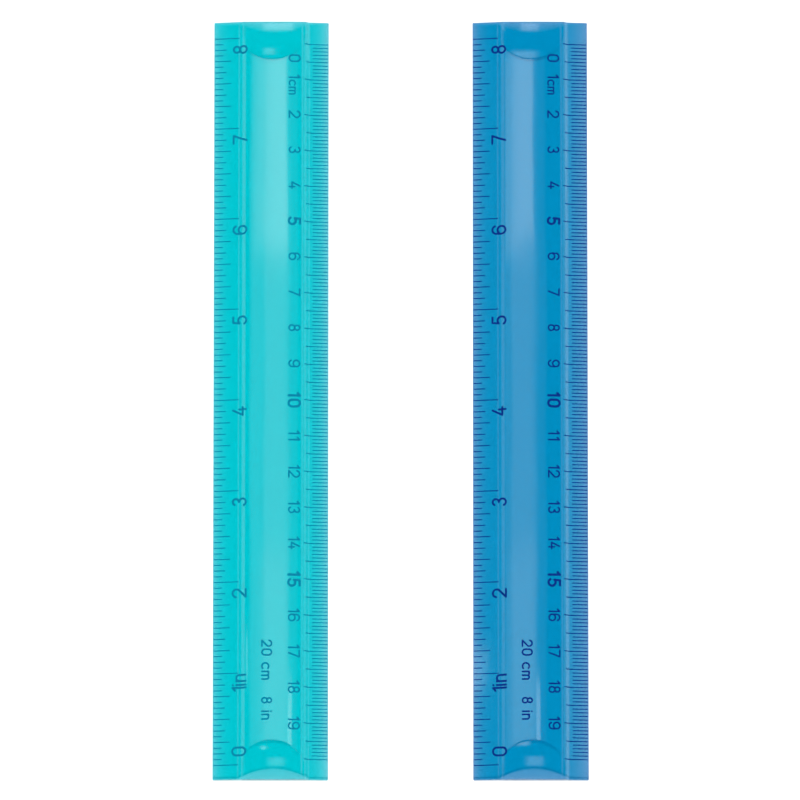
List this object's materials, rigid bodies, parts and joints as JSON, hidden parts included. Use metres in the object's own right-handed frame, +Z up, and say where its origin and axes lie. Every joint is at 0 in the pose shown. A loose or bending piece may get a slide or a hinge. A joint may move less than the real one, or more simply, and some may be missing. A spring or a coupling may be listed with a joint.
{
  "type": "parallel rulers",
  "caption": "Pair of loose transparent moulded rulers with inch and centimetre scales, a raised crown and a thumb scoop at each end.",
  "frame": {"origin": "on the table, midway between the two rulers and midway along them", "axes": "+X across the rulers from the inch edge to the centimetre edge, +Y along them towards the 8 inch and 0 centimetre end, +Z up"},
  "size_m": [0.1032, 0.212, 0.0036],
  "materials": {
    "teal_polystyrene": "clear tinted, polished",
    "blue_polystyrene": "clear tinted, polished",
    "teal_print": "matte screen-printed ink",
    "blue_print": "matte screen-printed ink"
  },
  "bodies": {
    "teal_ruler": {"teal_moulded_ruler": "teal_polystyrene", "teal_whole_inch_lines": "teal_print", "teal_half_inch_lines": "teal_print", "teal_quarter_inch_lines": "teal_print", "teal_eighth_inch_lines": "teal_print", "teal_sixteenth_inch_lines": "teal_print", "teal_centimetre_lines": "teal_print", "teal_half_centimetre_lines": "teal_print", "teal_millimetre_lines": "teal_print", "teal_inch_numerals": "teal_print", "teal_inch_unit_letters": "teal_print", "teal_centimetre_numerals": "teal_print", "teal_centimetre_unit_letters": "teal_print", "teal_length_legend": "teal_print"},
    "blue_ruler": {"blue_moulded_ruler": "blue_polystyrene", "blue_whole_inch_lines": "blue_print", "blue_half_inch_lines": "blue_print", "blue_quarter_inch_lines": "blue_print", "blue_eighth_inch_lines": "blue_print", "blue_sixteenth_inch_lines": "blue_print", "blue_centimetre_lines": "blue_print", "blue_half_centimetre_lines": "blue_print", "blue_millimetre_lines": "blue_print", "blue_inch_numerals": "blue_print", "blue_inch_unit_letters": "blue_print", "blue_centimetre_numerals": "blue_print", "blue_centimetre_unit_letters": "blue_print", "blue_length_legend": "blue_print"}
  },
  "joints": [
    {"name": "ruler_spacing_slide", "type": "slide", "parent": "teal_ruler", "child": "blue_ruler", "axis": [1, 0, 0], "range_m": [-0.0394, 0.06]}
  ]
}
